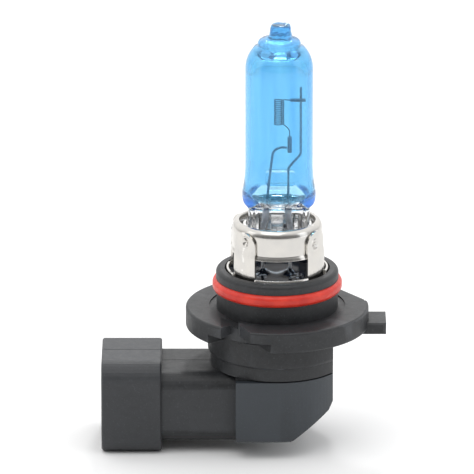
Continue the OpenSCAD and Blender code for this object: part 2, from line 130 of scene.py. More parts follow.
def piece(name, verts, faces, material, replaces=(), sharp=40):
    """A mesh piece from millimetre points, riding on the bulb's one body."""
    mesh = bpy.data.meshes.new(name)
    mesh.from_pydata([Vector(v) * MM for v in verts], [], faces)
    mesh.validate()
    mesh.shade_smooth()
    if sharp:
        mesh.set_sharp_from_angle(angle=math.radians(sharp))
    mesh.materials.append(material)
    obj = bpy.data.objects.new(name, mesh)
    bpy.context.scene.collection.objects.link(obj)
    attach(obj, "root")
    if replaces:
        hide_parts(*replaces)
    return obj


def grid_faces(rows, cols, close_cols=False, start=0):
    """Quads between rows of points; close_cols joins the last column to the first."""
    faces = []
    for i in range(rows - 1):
        for j in range(cols if close_cols else cols - 1):
            k = (j + 1) % cols
            faces.append((
                start + i * cols + j, start + i * cols + k,
                start + (i + 1) * cols + k, start + (i + 1) * cols + j,
            ))
    return faces


def lathe(profile, segments):
    """Verts and faces of a closed profile of (radius, z) turned round the axis."""
    verts = [
        (r * math.cos(TURN * j / segments), r * math.sin(TURN * j / segments), z)
        for r, z in profile for j in range(segments)
    ]
    faces = grid_faces(len(profile), segments, True)
    last = (len(profile) - 1) * segments
    faces += [
        (last + j, last + (j + 1) % segments, (j + 1) % segments, j)
        for j in range(segments)
    ]
    return verts, faces


def sweep(path, radius, sides):
    """A closed round wire along a path."""
    path = [Vector(p) for p in path]
    n = len(path)
    tangents = [
        (path[min(i + 1, n - 1)] - path[max(i - 1, 0)]).normalized() for i in range(n)
    ]
    up = Vector((0, 1, 0)) if abs(tangents[0].y) < 0.9 else Vector((1, 0, 0))
    verts = []
    for p, t in zip(path, tangents):
        up = (up - t * up.dot(t)).normalized()
        side = t.cross(up)
        for j in range(sides):
            a = TURN * j / sides
            verts.append(p + radius * (math.cos(a) * up + math.sin(a) * side))
    faces = grid_faces(n, sides, True)
    faces = [tuple(reversed(f)) for f in faces]
    faces.append(tuple(range(sides)))
    faces.append(tuple(reversed(range((n - 1) * sides, n * sides))))
    return verts, faces


def merged(*parts):
    """Several (verts, faces) pairs as one."""
    verts, faces = [], []
    for v, f in parts:
        faces += [tuple(k + len(verts) for k in face) for face in f]
        verts += list(v)
    return verts, faces


def soften(obj, width_mm, segments, angle):
    """Round the edges that are sharper than angle, in degrees."""
    mod = obj.modifiers.new("Bevel", "BEVEL")
    mod.width = mm(width_mm)
    mod.segments = segments
    mod.limit_method = "ANGLE"
    mod.angle_limit = math.radians(angle)
    mod.use_clamp_overlap = True
    mod.harden_normals = True


def paint(obj, name, colours):
    """A colour attribute with one (red, green, blue) for each point."""
    layer = obj.data.color_attributes.new(name, "FLOAT_COLOR", "POINT")
    for point, colour in zip(layer.data, colours):
        point.color = (*colour, 1.0)


# ---- materials -----------------------------------------------------------------

# The glass coat's tint: its two shades and where it ran thick.
COAT_BLUE = (0.105, 0.45, 0.88)
COAT_PALE = (0.175, 0.585, 0.925)
COAT_DEEP = (0.035, 0.2, 0.82)

# Where a colour Mix node has its factor and its two colours.
MIX_SOCKETS = (0, 6, 7)


class Shader:
    """A material's node tree, with short calls for the nodes used here."""

    def __init__(self, name):
        self.mat = bpy.data.materials.new(name)
        self.mat.use_nodes = True
        self.tree = self.mat.node_tree
        self.bsdf = self.tree.nodes["Principled BSDF"]
        self.place = self.tree.nodes.new("ShaderNodeTexCoord").outputs["Object"]

    def set(self, **values):
        """Constant values, straight on the shader's own sockets."""
        for key, value in values.items():
            self.bsdf.inputs[key.replace("_", " ")].default_value = value

    def link(self, source, socket):
        """Join an output to any socket of the tree."""
        self.tree.links.new(source, socket)

    def to(self, source, name):
        """Join an output to one of the shader's own sockets."""
        self.link(source, self.bsdf.inputs[name])

    def stretched(self, scale):
        """Object coordinates scaled by axis: under 1 draws a pattern out along it."""
        node = self.tree.nodes.new("ShaderNodeMapping")
        node.inputs["Scale"].default_value = scale
        self.link(self.place, node.inputs["Vector"])
        return node.outputs["Vector"]

    def noise(self, grain_mm, detail, rough=0.55, vector=None):
        """Noise whose blotches are about grain_mm across."""
        node = self.tree.nodes.new("ShaderNodeTexNoise")
        node.inputs["Scale"].default_value = 1 / (grain_mm * MM)
        node.inputs["Detail"].default_value = detail
        node.inputs["Roughness"].default_value = rough
        self.link(vector or self.place, node.inputs["Vector"])
        return node.outputs["Fac"]

    def ramp(self, source, *stops):
        """A colour or grey ramp; each stop is (position, grey or colour)."""
        node = self.tree.nodes.new("ShaderNodeValToRGB")
        elements = node.color_ramp.elements
        while len(elements) < len(stops):
            elements.new(0.5)
        for element, (pos, value) in zip(elements, stops):
            element.position = pos
            colour = (value, value, value) if isinstance(value, (int, float)) else value
            element.color = (*colour, 1)
        self.link(source, node.inputs["Fac"])
        return node.outputs["Color"]

    def mix(self, factor, a, b):
        """Colour a turning into colour b as factor goes from 0 to 1."""
        node = self.tree.nodes.new("ShaderNodeMix")
        node.data_type = "RGBA"
        sockets = [node.inputs[i] for i in MIX_SOCKETS]
        for socket, value in zip(sockets, (factor, a, b)):
            if isinstance(value, bpy.types.NodeSocket):
                self.link(value, socket)
            elif isinstance(value, (int, float)):
                socket.default_value = value
            else:
                socket.default_value = (*value, 1)
        return node.outputs[2]

    def math(self, operation, a, b):
        """Arithmetic on two values, each a number or an output."""
        node = self.tree.nodes.new("ShaderNodeMath")
        node.operation = operation
        for socket, value in zip(node.inputs, (a, b)):
            if isinstance(value, bpy.types.NodeSocket):
                self.link(value, socket)
            else:
                socket.default_value = value
        return node.outputs[0]

    def edges(self, low, high):
        """1 on convex edges and 0 on flats, from the mesh's pointiness."""
        node = self.tree.nodes.new("ShaderNodeNewGeometry")
        return self.ramp(node.outputs["Pointiness"], (low, 0.0), (high, 1.0))

    def attribute(self, name):
        """The mesh's own colour attribute, painted when the piece was made."""
        node = self.tree.nodes.new("ShaderNodeAttribute")
        node.attribute_name = name
        return node.outputs["Color"]

    def bump(self, height, depth_mm, strength, normal=None):
        """Relief up to depth_mm deep, on top of another bump where normal gives one."""
        node = self.tree.nodes.new("ShaderNodeBump")
        node.inputs["Distance"].default_value = depth_mm * MM
        node.inputs["Strength"].default_value = strength
        self.link(height, node.inputs["Height"])
        if normal:
            self.link(normal, node.inputs["Normal"])
        return node.outputs["Normal"]


def plastic(name, dark, light, rough, grain_mm, depth_mm):
    """Black moulded plastic: eroded grain, mottled tone, paler specks and worn edges."""
    s = Shader(name)
    flow = s.noise(7, 4)
    mottle = s.noise(1.3, 6, 0.8)
    grain = s.noise(grain_mm, 3, 0.65)
    specks = s.ramp(s.noise(0.3, 1), (0.64, 0.0), (0.72, 0.35))
    wear = s.math("MULTIPLY", s.edges(0.52, 0.62), 0.4)
    colour = s.mix(s.ramp(mottle, (0.4, 0.0), (0.62, 1.0)), dark, light)
    colour = s.mix(s.ramp(flow, (0.35, 0.0), (0.8, 0.4)), colour, [1.5 * c for c in light])
    colour = s.mix(specks, colour, [3 * c for c in light])
    colour = s.mix(wear, colour, [4 * c for c in light])
    s.to(colour, "Base Color")
    s.to(s.ramp(mottle, (0.3, rough - 0.08), (0.7, rough + 0.1)), "Roughness")
    coarse = s.bump(s.noise(1.3, 3), depth_mm * 4, 0.4)
    s.to(s.bump(grain, depth_mm, 0.9, coarse), "Normal")
    s.set(Specular_IOR_Level=0.5)
    return s.mat


def silicone(name, colour, deep, rough):
    """Soft rubber with a cloudy tone and a fine dusty surface."""
    s = Shader(name)
    cloud = s.ramp(s.noise(2.5, 3), (0.35, 0.0), (0.7, 1.0))
    s.to(s.mix(cloud, colour, deep), "Base Color")
    s.to(s.ramp(s.noise(0.8, 2), (0.3, rough - 0.08), (0.7, rough + 0.1)), "Roughness")
    s.to(s.bump(s.noise(0.12, 2), 0.01, 0.5), "Normal")
    s.set(Subsurface_Weight=0.15, Subsurface_Scale=0.0006)
    return s.mat


def sheet_metal(name, colour, warm, rough, along=(1, 1, 1)):
    """Satin sheet steel: fine rolling lines, slight stains, brighter edges."""
    s = Shader(name)
    lines = s.noise(0.25, 3, 0.6, s.stretched(along))
    stain = s.noise(3.5, 3)
    tone = s.mix(s.ramp(stain, (0.35, 0.0), (0.75, 1.0)), colour, warm)
    tone = s.mix(s.math("MULTIPLY", s.edges(0.52, 0.65), 0.5), tone, (0.95, 0.93, 0.9))
    s.to(tone, "Base Color")
    s.to(s.ramp(lines, (0.3, rough - 0.06), (0.7, rough + 0.08)), "Roughness")
    s.to(s.bump(lines, 0.004, 0.5), "Normal")
    s.set(Metallic=1.0)
    return s.mat


def wire_metal(name, colour, rough, metallic=1.0):
    """Drawn wire and small stamped metal, unevenly tarnished."""
    s = Shader(name)
    tarnish = s.ramp(s.noise(0.4, 2), (0.3, 0.0), (0.7, 1.0))
    s.to(s.mix(tarnish, colour, [0.7 * c for c in colour]), "Base Color")
    s.to(s.ramp(s.noise(0.2, 2), (0.3, rough - 0.05), (0.7, rough + 0.1)), "Roughness")
    s.to(s.bump(s.noise(0.08, 2), 0.003, 0.5), "Normal")
    s.set(Metallic=metallic)
    return s.mat


def capsule_glass():
    """Hard glass with a blue coat outside.

    The colour attribute says where: red for the coat, green for where it ran thick and blue
    for crazing.
    """
    s = Shader("capsule_glass")
    split = s.tree.nodes.new("ShaderNodeSeparateColor")
    s.link(s.attribute("coat"), split.inputs[0])
    coat, thick, crazed = split.outputs[:3]
    streaks = s.noise(2.2, 2, 0.5, s.stretched((1, 1, 0.08)))
    patchy = s.mix(s.ramp(streaks, (0.32, 0.0), (0.62, 1.0)), COAT_BLUE, COAT_PALE)
    patchy = s.mix(thick, patchy, COAT_DEEP)
    s.to(s.mix(coat, (0.985, 0.99, 1.0), patchy), "Base Color")
    # the coat scatters a little, and most where it ran thick
    haze = s.math("ADD", s.math("MULTIPLY", coat, 0.1), s.math("MULTIPLY", thick, 0.6))
    s.to(s.math("SUBTRACT", 1.0, haze), "Transmission Weight")
    smooth = s.bump(s.noise(2.2, 2), 0.02, 0.25)
    s.to(s.bump(s.math("MULTIPLY", s.noise(0.35, 2), crazed), 0.12, 0.8, smooth), "Normal")
    s.set(Roughness=0.0, IOR=1.47)
    return s.mat


def clear_glass():
    """The bridge's glass, which barely bends the light inside the capsule."""
    s = Shader("clear_glass")
    s.to(s.mix(s.noise(1.5, 2), (0.95, 0.97, 1.0), (0.99, 1.0, 1.0)), "Base Color")
    s.to(s.bump(s.noise(1.2, 2), 0.01, 0.3), "Normal")
    s.set(Transmission_Weight=1.0, Roughness=0.02, IOR=1.22)
    return s.mat


def compound():
    """Glossy dark sealing compound, with highlights painted in where its colour attribute says."""
    s = Shader("sealing_compound")
    dark = s.mix(s.noise(1.5, 3), (0.006, 0.008, 0.012), (0.014, 0.018, 0.032))
    # near white painted highlights, where the attribute marks them
    s.to(s.mix(s.attribute("painted_highlight"), dark, (0.86, 0.92, 1.0)), "Base Color")
    s.to(s.ramp(s.noise(1.0, 2), (0.3, 0.04), (0.7, 0.12)), "Roughness")
    s.to(s.bump(s.noise(1.6, 2), 0.05, 0.4), "Normal")
    s.set(Specular_IOR_Level=0.04)
    return s.mat


HOUSING = plastic("housing_plastic", (0.010, 0.0112, 0.0125), (0.022, 0.0235, 0.026),
                  rough=0.5, grain_mm=0.28, depth_mm=0.022)
COVER = plastic("cover_plastic", (0.0105, 0.0128, 0.0155), (0.017, 0.0205, 0.0245),
                rough=0.43, grain_mm=0.2, depth_mm=0.010)
RED = silicone("red_silicone", (0.76, 0.045, 0.022), (0.58, 0.02, 0.012), 0.38)
GASKET = silicone("gasket_rubber", (0.008, 0.008, 0.008), (0.015, 0.015, 0.015), 0.7)
STEEL = sheet_metal("nickel_steel", (0.60, 0.585, 0.56), (0.68, 0.655, 0.61), 0.17,
                    along=(1, 1, 0.2))
CLIP = sheet_metal("clip_steel", (0.86, 0.87, 0.89), (0.93, 0.93, 0.92), 0.16)
TUNGSTEN = wire_metal("tungsten", (0.11, 0.105, 0.12), 0.4)
MOLY = wire_metal("molybdenum", (0.36, 0.39, 0.44), 0.36)
CRIMP = wire_metal("crimp_metal", (0.28, 0.29, 0.32), 0.34)
# near white and barely metallic: the silvery wire's bright reflections are painted into its colour
PAINTED_BRIGHT_NICKEL = wire_metal("nickel_wire", (0.97, 0.98, 1.0), 0.25, metallic=0.1)
TINNED = wire_metal("terminal_brass", (0.74, 0.68, 0.52), 0.3)
INSULATION = silicone("white_insulation", (0.8, 0.79, 0.74), (0.7, 0.69, 0.62), 0.35)
GLASS = capsule_glass()
CLEAR = clear_glass()
COMPOUND = compound()


# ---- CAD nodes that keep their shape ---------------------------------------------


def keep(node, material, bevel_mm=0.0, angle=38):
    """Give a CAD node its finish, and soft edges where bevel_mm says so."""
    obj = NODES[node]
    obj.data.materials.clear()
    obj.data.materials.append(material)
    obj.data.shade_smooth()
    obj.data.set_sharp_from_angle(angle=math.radians(angle))
    if bevel_mm:
        soften(obj, bevel_mm, 2, angle)


keep("base_housing", HOUSING, 0.12)
keep("rear_cover", COVER, 0.12)
keep("cover_gasket", GASKET)
keep("o_ring", RED)
keep("insulating_sleeve", INSULATION)
keep("spring_clip", CLIP, 0.05)
keep("glass_bridge", CLEAR)
for blade in ("terminal_short", "terminal_long"):
    keep(blade, TINNED, 0.08)
for pin in ("lead_pin_left", "lead_pin_right"):
    keep(pin, PAINTED_BRIGHT_NICKEL, angle=60)
for support in ("long_support_lead", "short_support_lead"):
    keep(support, MOLY, angle=60)
for sleeve in ("upper_crimp_sleeve", "lower_crimp_sleeve"):
    keep(sleeve, CRIMP)

# ---- glass capsule ---------------------------------------------------------------

PRESS_END_Z = size("glass_press")[0].z
envelope_low, envelope_high = size("glass_envelope")
FOCUS_X = (envelope_low.x + envelope_high.x) / 2
TIP_Z = envelope_high.z
RING_Z = 44.0  # height of the ring below the sealed tip
DOME_Z, DOME_R, DOME_OFFSET = 39.9, 5.2, 0.25  # the dome's arc, its centre off the axis
TUBE_R, BORE_R, TUBE_LOW_Z = 5.45, 4.55, 23.5
BULGE_R, BULGE_Z = 5.95, 18.9  # the widest ring, where the tube ends
PRESS_HALF_W = 4.95
NUB_POWER = 3.2  # how square the tip's nub is
COAT_EDGE_Z = 18.6  # where the coat ends on the flat sides
LEAD_X = (-1.95, 1.75)  # where the leads run down in the press
CAPSULE_SIDES = 144


def lumps(x, y, z, scale, seed):
    """Seeded smooth noise, from about -1 to 1."""
    return noise.noise(Vector((x, y, z)) / scale + Vector((seed, 0, 0)))


def rounded_square(x, y, power):
    """How far a rounded square reaches in the unit direction (x, y); power 2 is a circle."""
    return (abs(x) ** power + abs(y) ** power) ** (-1 / power)


def capsule_profile():
    """Outer half-profile from the tip down to the bulge, as (radius, z, lumpiness)."""
    drops = [(0.4, 0.05), (0.95, 0.02), (1.3, 0.06), (1.52, 0.22), (1.63, 0.55), (1.7, 1.0),
             (1.77, 1.45), (1.86, 1.85), (1.98, 2.12), (2.2, 2.3), (2.6, 2.38), (3.0, 2.52),
             (3.28, 2.74), (3.42, 3.0), (3.45, 3.3), (3.42, 3.52), (3.5, 3.66)]
    rows = [
        (r, TIP_Z - drop, 0.4 if r < 0.5 or r > 2.7 else 1.0)
        for r, drop in spline(drops, 3)
    ]
    start = math.degrees(math.asin((RING_Z - 0.55 - DOME_Z) / DOME_R))
    rows += [
        (r, z, max(0.0, 0.2 * (z - 42) / 2))
        for r, z in arc(DOME_OFFSET, DOME_Z, DOME_R, start, 0, 16)
    ]
    rows += [(TUBE_R, DOME_Z - (DOME_Z - TUBE_LOW_Z) * i / 22, 0.0) for i in range(1, 23)]
    foot = [(TUBE_R, TUBE_LOW_Z), (5.58, 21.5), (5.75, 20.4), (5.92, 19.4),
            (BULGE_R, BULGE_Z)]
    return rows + [(r, z, 0.0) for r, z in spline(foot, 4)[1:]]


def press_rows():
    """Rings below the bulge: (z, half width, half thickness, how square)."""
    shape = [(BULGE_Z, BULGE_R, BULGE_R, 0), (18.4, 5.93, 5.5, 0.05), (17.95, 5.8, 4.6, 0.2),
             (17.55, 5.52, 3.5, 0.45), (17.15, 5.22, 2.6, 0.75), (16.75, 5.03, 2.0, 0.95),
             (16.2, PRESS_HALF_W, 1.8, 1), (15.6, PRESS_HALF_W, 1.72, 1)]
    rows = spline(shape, 4)[1:]
    rows += [(15.6 - 4.8 * i / 12, PRESS_HALF_W, 1.7, 1) for i in range(1, 13)]
    return rows + [(10.5, 4.93, 1.66, 1), (10.3, 4.8, 1.55, 1), (PRESS_END_Z, 4.6, 1.4, 1)]


def press_point(a, half_w, half_t, square):
    """A point of the press's outline: a circle that turns into an edge-ribbed plate."""
    cos_a, sin_a = math.cos(a), math.sin(a)
    r = rounded_square(cos_a, sin_a, 2 + 6 * square)
    x, y = half_w * cos_a * r, half_t * sin_a * r
    rib = ease((abs(x) - 3.75) / 0.45) * square
    over = max(abs(x) - half_w + 0.55, 0.0) / 0.6
    taper = 1 + square * (math.sqrt(max(1 - over ** 2, 0.0)) - 1)
    if rib:
        return x, (y + math.copysign(0.55 * rib, y)) * taper
    swell = sum(math.exp(-((x + FOCUS_X - lead_x) / 0.6) ** 2) for lead_x in LEAD_X)
    return x, y * (1 + 0.16 * swell * square)


def tube_ring(r, z, rough):
    """A ring of the tube: round, with an uneven, squarish nub on top."""
    nub = ease((z - RING_Z - 0.8) / 0.8)
    ring = []
    for j in range(CAPSULE_SIDES):
        a = TURN * j / CAPSULE_SIDES
        x, y = math.cos(a), math.sin(a)
        swell = 0.09 * lumps(x * 1.6, y * 1.6, z, 1.6, 3) + 0.03 * lumps(x * 4, y * 4, z, 1.0, 9)
        push = rough * swell
        lift = rough * 0.1 * lumps(x * 2, y * 2, 0, 1.0, 5)
        if 1.5 < r < 3.58 and z > RING_Z - 0.4:
            push += 0.05 * lumps(r * x, r * y, z, 0.45, 17)
        square = rounded_square(x, y, NUB_POWER)
        r_here = (r + push) * (1 + 0.8 * nub * (square - 1))
        ring.append((FOCUS_X + 0.2 * nub + r_here * x, r_here * y, min(z + lift, TIP_Z)))
    return ring


def press_ring(z, half_w, half_t, square):
    """A ring of the press, with shallow waves across its flat sides."""
    ring = []
    for j in range(CAPSULE_SIDES):
        x, y = press_point(TURN * j / CAPSULE_SIDES, half_w, half_t, square)
        ripple = 0.05 * math.sin(z * 4.2) * (abs(x) < 3.7)
        wave = square * (0.04 * lumps(x, y, z, 1.2, 14) + ripple)
        ring.append((FOCUS_X + x, y * (1 + wave), z))
    return ring


def cavity_profile():
    """Half-profile of the gas space, from the top down."""
    top = [(0.25, 1.5), (0.8, 1.53), (1.6, 1.64), (2.5, 1.85), (3.2, 2.12), (3.7, 2.52),
           (4.02, 3.05), (4.25, 3.6), (4.42, 4.1)]
    rows = spline([(r, RING_Z - drop) for r, drop in top], 3)
    rows += [(4.52, DOME_Z - 0.5)]
    rows += [(BORE_R, DOME_Z - 0.9 - 15.0 * i / 18) for i in range(19)]
    bottom = [(BORE_R, 24.0), (4.7, 22.0), (4.86, 20.6), (4.98, 19.4), (4.82, 18.65),
              (4.1, 18.1), (2.5, 17.8), (0.3, 17.75)]
    return rows + spline(bottom, 4)[1:]


def cavity_ring(r, z):
    """A ring of the gas space, a little uneven near the bottom."""
    ring = []
    for j in range(CAPSULE_SIDES):
        a = TURN * j / CAPSULE_SIDES
        x, y = math.cos(a), math.sin(a)
        wave = 0.02 * lumps(x * 2, y * 2, z, 1.5, 21) if z < 21 else 0
        ring.append((FOCUS_X + (r + wave) * x, (r + wave) * y, z + 2 * wave))
    return ring


def coat_at(x, y, z):
    """How much coat, thick coat and crazing the outside has at a point."""
    side = abs(x - FOCUS_X) / BULGE_R
    edge_z = COAT_EDGE_Z - 1.65 * ease((side - 0.5) / 0.35) + 0.2 * lumps(x, y, 0, 1.3, 30)
    coat = ease((z - edge_z) / 0.5)
    run_down = ease((side - 0.5) / 0.25) * ease((19.7 - z) / 1.1) * coat
    on_ring = 0.2 * ease((z - RING_Z + 0.6) / 1.2) * ease((TIP_Z + 0.4 - z) / 2.2)
    crazed = ease((z - RING_Z + 1.2) / 0.8) * ease((TIP_Z - 1.9 - z) / 0.5)
    return coat, max(run_down, on_ring), crazed


def shell(rings, start):
    """Faces of stacked rings with both ends closed; start is the first point's number."""
    faces = grid_faces(len(rings), CAPSULE_SIDES, True, start)
    last = start + (len(rings) - 1) * CAPSULE_SIDES
    faces.append(tuple(reversed(range(start, start + CAPSULE_SIDES))))
    faces.append(tuple(range(last, last + CAPSULE_SIDES)))
    return faces


def capsule():
    """The envelope and its press, fused, with the gas space inside."""
    outside = [tube_ring(*row) for row in capsule_profile()]
    outside += [press_ring(*row) for row in press_rows()]
    inside = [cavity_ring(*row) for row in cavity_profile()]
    verts = [v for ring in outside + inside for v in ring]
    inner_start = len(outside) * CAPSULE_SIDES
    faces = [tuple(reversed(f)) for f in shell(outside, 0)]
    faces += shell(inside, inner_start)
    obj = piece("glass_capsule", verts, faces, GLASS,
                ("glass_envelope", "glass_press"), sharp=0)
    clear = (0.0, 0.0, 0.0)
    paint(obj, "coat", [
        coat_at(*v) if i < inner_start else clear for i, v in enumerate(verts)
    ])


capsule()

# ---- metal cage ------------------------------------------------------------------

ring_low, ring_high = size("retaining_ring")
collar_low, collar_high = size("capsule_collar")
SHEET = 0.4  # the sheet's thickness
# The node's widest part is its foot, and the wall is drawn at that radius, 0.33 mm wider than the
# CAD's wall.
RING_R, RING_LOW_Z, RING_TOP_Z = ring_high.x, ring_low.z, 6.6
COLLAR_R, COLLAR_IN_R = 7.3, 6.9
BEND_R, BEND_H = 6.3, 1.45  # centre and height of the collar's rolled-in edge
FLARE_H = 1.05  # height of its flared bottom edge
LEG_R, LEG_HALF_W = 7.36, 2.29
LEG_LOW_Z, LEG_TOP_Z = 5.2, ring_high.z
LEG_ROLL_R = 7.7  # the radius that a leg's width is rolled to
NOTCH_HALF_ANGLE = 18.5  # of the lower stretch of the wall under each leg, in degrees
# Each leg's direction in degrees, and its spot weld's place across the leg and up the axis.
LEGS = ((-45, 0.5, 12.5), (55.5, -0.6, 11.8), (135, 0.3, 12.2), (235.5, -0.2, 12.3))


def collar():
    """The ring round the press: rolled-in top edge, straight wall, flared bottom edge."""
    top, low = collar_high.z, collar_low.z
    flare = [(7.46, 0), (7.52, 0.06), (7.5, 0.2), (7.43, 0.42), (7.34, 0.62), (7.28, 0.74),
             (7.265, 0.82), (7.29, 0.92), (COLLAR_R, FLARE_H)]
    wall_h = top - BEND_H - low - FLARE_H
    profile = [(r, low + h) for r, h in flare]
    profile += [(COLLAR_R, low + FLARE_H + wall_h * i / 6) for i in range(1, 7)]
    profile += [(r, top - BEND_H * (1 - h)) for r, h in arc(BEND_R, 0, 1.0, 0, 90, 16)[1:]]
    profile += [(6.2, top - 0.02), (6.13, top - 0.12), (6.13, top - 0.28), (6.2, top - SHEET)]
    profile += arc(BEND_R, top - 1, 0.6, 90, 0, 10)
    inside = [(COLLAR_IN_R, FLARE_H), (COLLAR_IN_R, 0.8), (7.0, 0.5), (7.12, 0.2), (7.16, 0.04)]
    profile += [(r, low + h) for r, h in inside]
    verts, faces = lathe(profile, 192)
    piece("collar", verts, faces, STEEL, ("capsule_collar",), 50)


def leg_half_width(z):
    """Half of a leg's width: straight sides and a round top."""
    above = z - LEG_TOP_Z + LEG_HALF_W
    if above > 0:
        return math.sqrt(max(LEG_HALF_W ** 2 - above ** 2, 0.0025))
    return LEG_HALF_W


def spot_weld(across, z, weld_x, weld_z, seed):
    """How far the weld's dimple, its raised rim and the dents move the sheet out."""
    away = math.hypot(across - weld_x, z - weld_z)
    dimple = -0.28 * math.exp(-(away / 0.42) ** 2)
    rim = 0.08 * math.exp(-((away - 0.8) / 0.18) ** 2)
    scar = 0.05 * lumps(across, z, 3, 0.35, seed) * math.exp(-(away / 0.8) ** 4)
    return dimple + rim + scar + 0.012 * lumps(across, z, 0, 0.8, 40 + seed)


def leg(direction, weld_x, weld_z, seed):
    """A leg's sheet, inner and outer side, with its spot weld pressed in."""
    rows, cols = 96, 40
    turn = math.radians(direction)
    reach = LEG_TOP_Z - 0.02 - LEG_LOW_Z
    heights = [LEG_LOW_Z + reach * (1 - (1 - i / (rows - 1)) ** 1.35) for i in range(rows)]
    verts = []
    for thickness in (0, SHEET):
        for z in heights:
            over_bead = 0.15 * ease((11.3 - z) / 1.7)
            r = LEG_R + over_bead + thickness + 0.06 * ease((z - 12.6) / 1.4)
            half = leg_half_width(z)
            for j in range(cols):
                across = -half + 2 * half * j / (cols - 1)
                r_here = r + spot_weld(across, z, weld_x, weld_z, seed)
                a = turn + math.asin(across / LEG_ROLL_R)
                verts.append((r_here * math.sin(a), -r_here * math.cos(a), z))
    outer = rows * cols
    faces = [tuple(reversed(f)) for f in grid_faces(rows, cols)]
    faces += grid_faces(rows, cols, start=outer)
    rim = list(range(cols)) + [i * cols + cols - 1 for i in range(1, rows)]
    rim += [(rows - 1) * cols + j for j in range(cols - 2, -1, -1)]
    rim += [i * cols for i in range(rows - 2, 0, -1)]
    for a, b in zip(rim, rim[1:] + rim[:1]):
        faces.append((a, b, outer + b, outer + a))
    return verts, faces


def nearest_leg(x, y):
    """The angle in degrees from a point to the nearest leg's middle."""
    at = math.degrees(math.atan2(x, -y))
    return min(abs((at - direction + 180) % 360 - 180) for direction, _, _ in LEGS)


def cage_ring():
    """The retaining ring: wall and foot in the housing, and four legs."""
    low, top = RING_LOW_Z, RING_TOP_Z
    wall = [(RING_R - 1.3, low), (RING_R + 0.3, low), (RING_R + 0.3, low + SHEET),
            (RING_R + 0.02, low + SHEET + 0.25), (RING_R, low + 1.0), (RING_R, top - 0.08),
            (RING_R - 0.06, top), (RING_R - 0.34, top), (RING_R - SHEET, top - 0.08),
            (RING_R - SHEET, low + SHEET), (RING_R - 1.3, low + SHEET)]
    verts, faces = lathe(wall, 360)
    for i, (x, y, z) in enumerate(verts):
        if z > top - 0.2:
            # the wall is lower where a leg rises from it
            verts[i] = (x, y, z - 1.0 * ease((NOTCH_HALF_ANGLE - nearest_leg(x, y)) / 2.5))
    verts, faces = merged((verts, faces), *[leg(*place, i) for i, place in enumerate(LEGS)])
    obj = piece("cage_ring", verts, faces, STEEL, ("retaining_ring",), 50)
    soften(obj, 0.07, 3, 55)


collar()
cage_ring()

# ---- sealing compound ------------------------------------------------------------

seal_low, seal_high = size("lead_seal")
PIN_R = 0.275
PINS = ((-2.35, 0.0), (2.1, 0.0))
CREEP = 0.42  # how far out the compound's climb fades
SEAL_CUT = 2.95  # how much of the node's hidden bottom the piece leaves out


def painted_highlight_mask(x, y):
    """How much painted highlight: a band that hangs between the pins, streaks at their feet."""
    across = (x + 0.12) / 2.2
    band = math.exp(-((y - 2.6 * across ** 2) / 0.5) ** 2) * ease((1.05 - abs(across)) / 0.15)
    streaks = ease((lumps(x, y, 0, 0.5, 61) - 0.05) / 0.25) * ease((abs(x) - 1.6) / 0.4)
    streaks *= ease((4.4 - abs(x)) / 0.6) * ease((0.5 - y) / 0.5) * ease((y + 3.2) / 1.0)
    return min(band + 0.7 * streaks, 1.0)


def seal():
    """Glossy compound that creeps up the ring's wall and the two pins."""
    reach = RING_R - SHEET - 0.03
    level = seal_high.z - 0.1
    rings, segments = 60, 144
    verts = [(0, 0, level)]
    for i in range(1, rings + 1):
        r = reach * (i / rings)
        for j in range(segments):
            a = TURN * j / segments
            x, y = r * math.cos(a), r * math.sin(a)
            z = level + 0.5 * math.exp((r - reach) / CREEP)
            for pin_x, pin_y in PINS:
                away = max(math.hypot(x - pin_x, y - pin_y) - PIN_R, 0)
                z += 0.85 * math.exp(-away / CREEP)
            z += 0.05 * lumps(x, y, 0, 2.2, 50)
            verts.append((x, y, z))
    faces = [(0, 1 + j, 1 + (j + 1) % segments) for j in range(segments)]
    faces += [tuple(reversed(f)) for f in grid_faces(rings, segments, True, 1)]
    rim = 1 + (rings - 1) * segments
    bottom = rim + segments
    verts += [(x, y, seal_low.z + SEAL_CUT) for x, y, _ in verts[rim:]]
    faces += [
        (rim + j, bottom + j, bottom + (j + 1) % segments, rim + (j + 1) % segments)
        for j in range(segments)
    ]
    faces.append(tuple(reversed(range(bottom, bottom + segments))))
    obj = piece("sealing_compound", verts, faces, COMPOUND,
                ("lead_seal",), 60)
    # the painted highlight's amount is stored as a colour attribute
    paint(obj, "painted_highlight", [(painted_highlight_mask(x, y),) * 3 for x, y, _ in verts])


seal()

# ---- filament and lead feet ------------------------------------------------------

COIL_R, COIL_TURNS, COIL_STEPS = 0.77, 13, 28
COIL_LOW_Z, COIL_TOP_Z = 30.5, 34.8
WIRE_R = 0.074
FEET_TOP_X, FOOT_R = (-1.82, 1.75), 0.31


def filament():
    """Tightly wound coil with its two tails in the crimp sleeves."""
    sleeve_low, sleeve_high = size("lower_crimp_sleeve")
    top_low, top_high = size("upper_crimp_sleeve")
    tail_x, tail_z = (sleeve_low.x + sleeve_high.x) / 2, sleeve_high.z
    clamp = (top_low + top_high) / 2
    path = bent([(tail_x, 0, tail_z - 0.5), (tail_x, 0, 29.6), (1.45, 0, 30.2),
                 (FOCUS_X + COIL_R, 0.02, COIL_LOW_Z)], 0.4)[:-1]
    last = COIL_TURNS * COIL_STEPS
    for i in range(last + 1):
        a = TURN * i / COIL_STEPS
        path.append((FOCUS_X + COIL_R * math.cos(a), COIL_R * math.sin(a),
                     COIL_LOW_Z + (COIL_TOP_Z - COIL_LOW_Z) * i / last))
    path += [(1.3, -0.2, clamp.z - 0.03), (top_low.x - 0.1, clamp.y, clamp.z),
             (top_low.x + 0.4, clamp.y, clamp.z)]
    verts, faces = sweep(path, WIRE_R, 8)
    piece("filament", verts, faces, TUNGSTEN, ("filament_coil",), 60)


filament()


